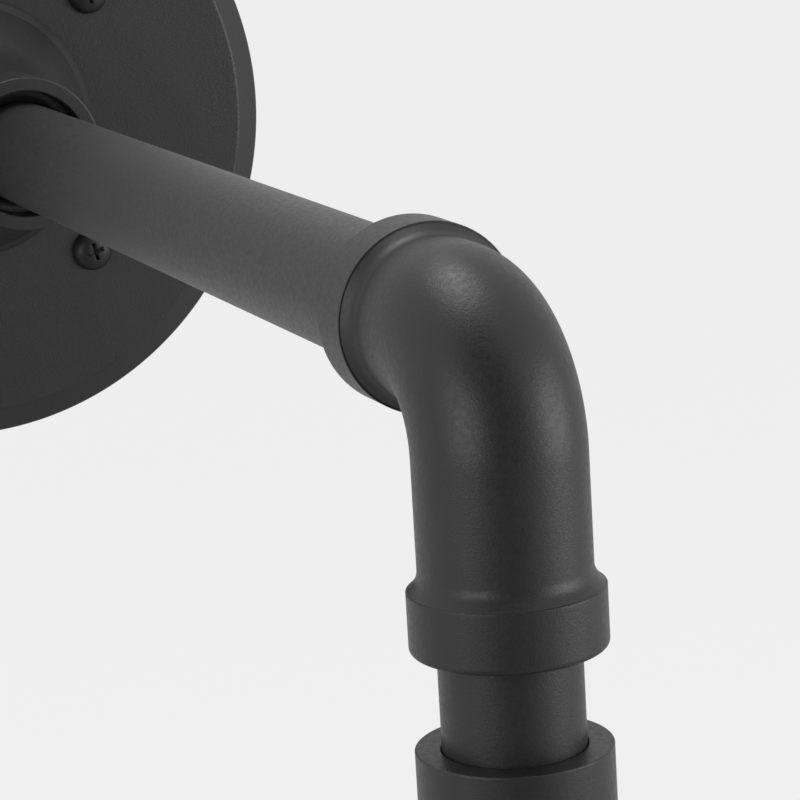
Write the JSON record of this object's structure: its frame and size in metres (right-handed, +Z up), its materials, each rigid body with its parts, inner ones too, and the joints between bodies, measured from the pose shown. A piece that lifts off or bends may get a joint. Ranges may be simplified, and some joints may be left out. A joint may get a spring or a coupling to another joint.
{
  "type": "wall light",
  "caption": "Pipe-style wall light: a round wall flange and flared hub carry a straight arm, a banded elbow, a short drop pipe and a lamp cup with a screw-in filament bulb.",
  "frame": {"origin": "centre of the wall flange's back, on the wall plane", "axes": "+Z up, the light stands out from the wall along -Y, +X to the viewer's right when facing the wall"},
  "size_m": [0.1174, 0.31, 0.2848],
  "materials": {
    "powder_coat": "matte charcoal-black powder coat with a fine texture",
    "black_screw": "black oxide",
    "zinc_steel": "zinc-plated steel",
    "black_plastic": "black moulded plastic",
    "block_plastic": "off-white moulded plastic",
    "green_screw": "green-dyed steel",
    "brass": "plain brass",
    "live_insulation": "black insulation",
    "neutral_insulation": "white insulation",
    "earth_insulation": "green insulation",
    "nickel_cap": "nickel-plated",
    "bulb_insulator": "black vitrified insulator",
    "tip_metal": "soldered contact",
    "clear_glass": "clear glass",
    "stem_glass": "clear glass",
    "filament": "amber phosphor sticks",
    "support_wire": "nickel wire"
  },
  "bodies": {
    "lamp": {"wall_flange": "powder_coat", "flange_screws": "black_screw", "flange_hub": "powder_coat", "hub_screws": "zinc_steel", "hub_set_screw": "black_screw", "pipe_bush": "black_plastic", "terminal_bracket": "zinc_steel", "bracket_screws": "zinc_steel", "terminal_block": "block_plastic", "terminal_screws": "zinc_steel", "earth_screw": "green_screw", "earth_washer": "zinc_steel", "arm_pipe": "powder_coat", "elbow": "powder_coat", "drop_pipe": "powder_coat", "lamp_cup": "powder_coat", "cup_nipple": "zinc_steel", "cup_locknut": "zinc_steel", "holder_cap": "black_plastic", "holder_body": "black_plastic", "holder_terminals": "brass", "screw_shell": "brass", "centre_contact": "brass", "live_lead": "live_insulation", "neutral_lead": "neutral_insulation", "earth_lead": "earth_insulation"},
    "bulb_base": {"bulb_cap": "nickel_cap", "bulb_insulator": "bulb_insulator", "bulb_tip": "tip_metal"},
    "bulb_envelope": {"bulb_glass": "clear_glass", "bulb_stem": "stem_glass", "filaments": "filament", "filament_supports": "support_wire"}
  },
  "joints": [
    {"name": "bulb_travel", "type": "slide", "parent": "lamp", "child": "bulb_base", "axis": [0, 0, -1], "range_m": [0, 0.01453]},
    {"name": "bulb_turn", "type": "hinge", "parent": "bulb_base", "child": "bulb_envelope", "pos_m": [0, -0.256, -0.1], "axis": [0, 0, -1], "range_deg": [0, 1440]}
  ],
  "couplings": [
    {"joint": "bulb_travel", "follows": "bulb_turn", "m_per_rad": 0.00057773}
  ]
}
